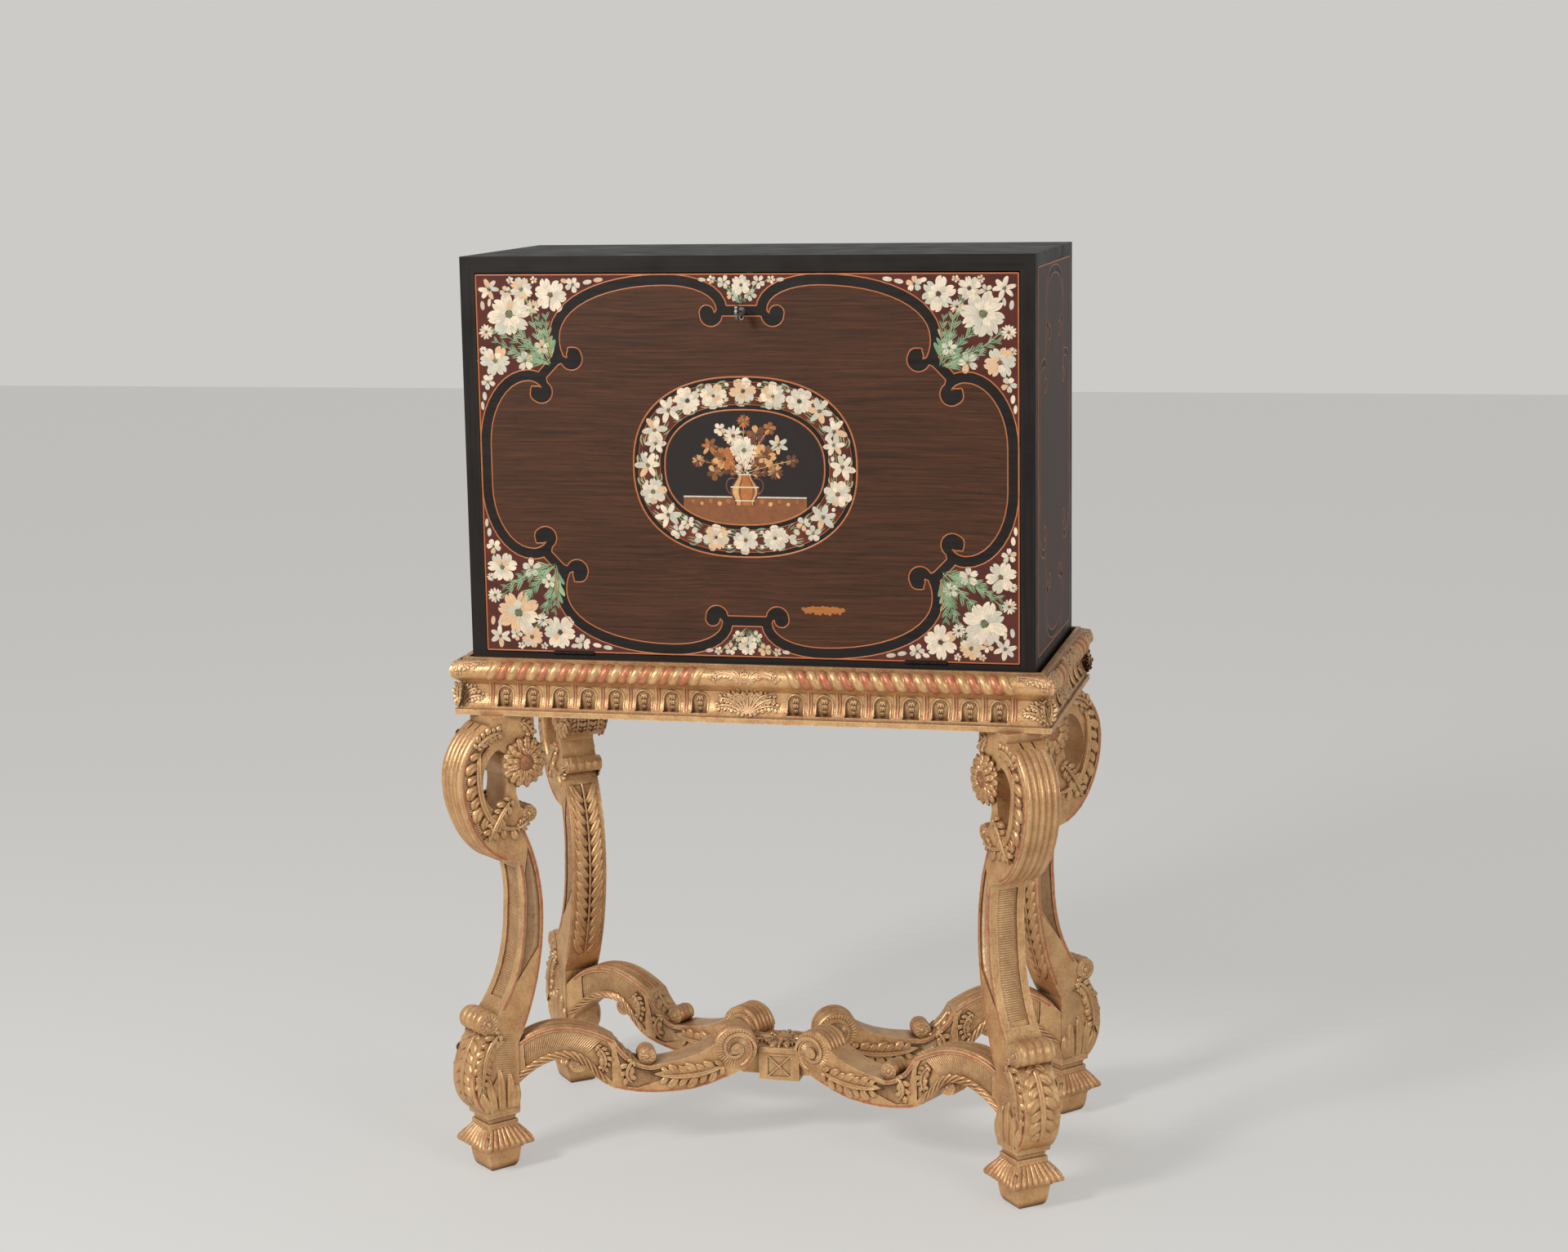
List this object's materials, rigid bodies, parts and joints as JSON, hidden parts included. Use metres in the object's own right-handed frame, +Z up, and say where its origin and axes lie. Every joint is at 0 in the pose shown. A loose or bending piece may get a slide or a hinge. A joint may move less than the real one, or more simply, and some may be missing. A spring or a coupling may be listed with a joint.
{
  "type": "fall front cabinet on stand",
  "caption": "Fall-front cabinet with marquetry and a nest of drawers, on a carved gilt stand with scrolled legs and a crossed stretcher.",
  "frame": {"origin": "bottom centre of the bounding box, on the floor under the middle of the cabinet", "axes": "X to the right of the front, Y towards the back, Z up; the flap faces -Y"},
  "size_m": [1.0624, 0.6074, 1.567],
  "materials": {
    "giltwood": "carved wood, gilded over red bole, worn",
    "ebony": "ebony veneer, wax finish",
    "rosewood": "rosewood veneer with streaks along X",
    "carcase_wood": "walnut and pine, waxed",
    "iron": "wrought iron, filed bright and tarnished",
    "brass": "turned brass, old lacquer"
  },
  "bodies": {
    "case": {"rail_front": "giltwood", "rail_back": "giltwood", "rail_left": "giltwood", "rail_right": "giltwood", "corner_blocks": "giltwood", "leg_front_left": "giltwood", "leg_front_right": "giltwood", "leg_back_left": "giltwood", "leg_back_right": "giltwood", "foot_front_left": "giltwood", "foot_front_right": "giltwood", "foot_back_left": "giltwood", "foot_back_right": "giltwood", "sunflowers": "giltwood", "arm_front_left": "giltwood", "arm_front_right": "giltwood", "arm_back_left": "giltwood", "arm_back_right": "giltwood", "stretcher_block": "giltwood", "top_board": "ebony", "bottom_board": "ebony", "side_left": "ebony", "side_right": "ebony", "back_panel": "carcase_wood", "uprights": "carcase_wood", "dust_boards": "carcase_wood", "shelf_middle": "carcase_wood", "niche_arch": "carcase_wood", "strike_plate": "iron", "hinge_leaves_case": "iron", "hinge_pins": "iron", "stay_guides": "iron"},
    "flap": {"fall_front": "carcase_wood", "front_veneer": "rosewood", "front_strapwork": "ebony", "hinge_leaves_flap": "iron", "stays": "iron", "escutcheon": "iron", "lock_case": "iron"},
    "bolt": {"lock_bolt": "iron"},
    "key": {"key": "iron"},
    "drawer_left_1": {"drawer_left_1": "carcase_wood", "knob_left_1": "brass"},
    "drawer_left_2": {"drawer_left_2": "carcase_wood", "knob_left_2": "brass"},
    "drawer_left_3": {"drawer_left_3": "carcase_wood", "knob_left_3": "brass"},
    "drawer_left_4": {"drawer_left_4": "carcase_wood", "knob_left_4": "brass"},
    "drawer_right_1": {"drawer_right_1": "carcase_wood", "knob_right_1": "brass"},
    "drawer_right_2": {"drawer_right_2": "carcase_wood", "knob_right_2": "brass"},
    "drawer_right_3": {"drawer_right_3": "carcase_wood", "knob_right_3": "brass"},
    "drawer_right_4": {"drawer_right_4": "carcase_wood", "knob_right_4": "brass"},
    "drawer_middle": {"drawer_middle": "carcase_wood", "knob_middle": "brass"}
  },
  "joints": [
    {"name": "flap_hinge", "type": "hinge", "parent": "case", "child": "flap", "pos_m": [0, -0.2135, 0.9056], "axis": [1, 0, 0], "range_deg": [0, 90]},
    {"name": "key_turn", "type": "hinge", "parent": "flap", "child": "key", "pos_m": [0, -0.2125, 1.477], "axis": [0, -1, 0], "range_deg": [0, 50]},
    {"name": "bolt_slide", "type": "slide", "parent": "flap", "child": "bolt", "axis": [0, 0, 1], "range_m": [0, 0.0093]},
    {"name": "drawer_left_1_slide", "type": "slide", "parent": "case", "child": "drawer_left_1", "axis": [0, -1, 0], "range_m": [0, 0.032]},
    {"name": "drawer_left_2_slide", "type": "slide", "parent": "case", "child": "drawer_left_2", "axis": [0, -1, 0], "range_m": [0, 0.032]},
    {"name": "drawer_left_3_slide", "type": "slide", "parent": "case", "child": "drawer_left_3", "axis": [0, -1, 0], "range_m": [0, 0.032]},
    {"name": "drawer_left_4_slide", "type": "slide", "parent": "case", "child": "drawer_left_4", "axis": [0, -1, 0], "range_m": [0, 0.032]},
    {"name": "drawer_right_1_slide", "type": "slide", "parent": "case", "child": "drawer_right_1", "axis": [0, -1, 0], "range_m": [0, 0.032]},
    {"name": "drawer_right_2_slide", "type": "slide", "parent": "case", "child": "drawer_right_2", "axis": [0, -1, 0], "range_m": [0, 0.032]},
    {"name": "drawer_right_3_slide", "type": "slide", "parent": "case", "child": "drawer_right_3", "axis": [0, -1, 0], "range_m": [0, 0.032]},
    {"name": "drawer_right_4_slide", "type": "slide", "parent": "case", "child": "drawer_right_4", "axis": [0, -1, 0], "range_m": [0, 0.032]},
    {"name": "drawer_middle_slide", "type": "slide", "parent": "case", "child": "drawer_middle", "axis": [0, -1, 0], "range_m": [0, 0.032]}
  ],
  "couplings": [
    {"joint": "key_turn", "follows": "bolt_slide", "rad_per_m": 93.788}
  ]
}
